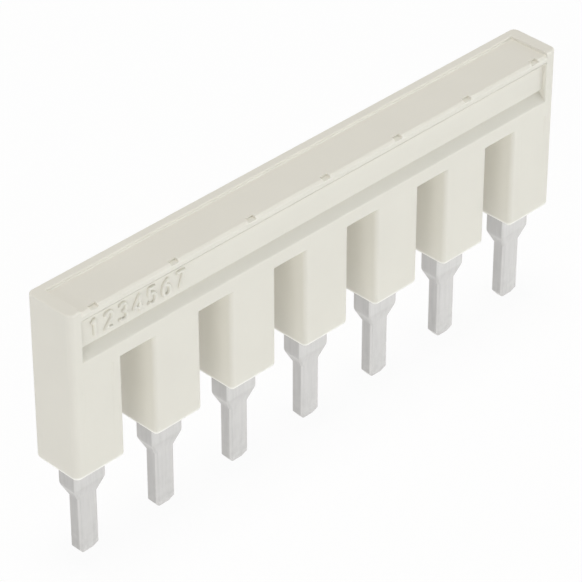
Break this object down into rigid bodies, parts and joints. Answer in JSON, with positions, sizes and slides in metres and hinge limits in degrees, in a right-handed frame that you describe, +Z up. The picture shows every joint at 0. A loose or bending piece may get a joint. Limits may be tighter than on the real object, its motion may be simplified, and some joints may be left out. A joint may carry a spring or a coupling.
{
  "type": "terminal block jumper bar",
  "caption": "Insulated push-in jumper bar: a comb-shaped plastic body moulded round a stamped comb of flat contact pins that bridges neighbouring terminal blocks.",
  "frame": {"origin": "middle of the row of poles, on the undersides of the legs, where the jumper seats on the terminal blocks", "axes": "+X along the row of poles, -Y the front with the recessed panel and tool groove, +Z up, away from the terminal blocks"},
  "size_m": [0.0412, 0.0036, 0.0187],
  "materials": {
    "body_plastic": "off-white polyamide with a fine moulded texture",
    "tin_plate": "satin tin plating on copper"
  },
  "bodies": {
    "root": {"insulating_body": "body_plastic", "contact_comb": "tin_plate"}
  },
  "joints": []
}
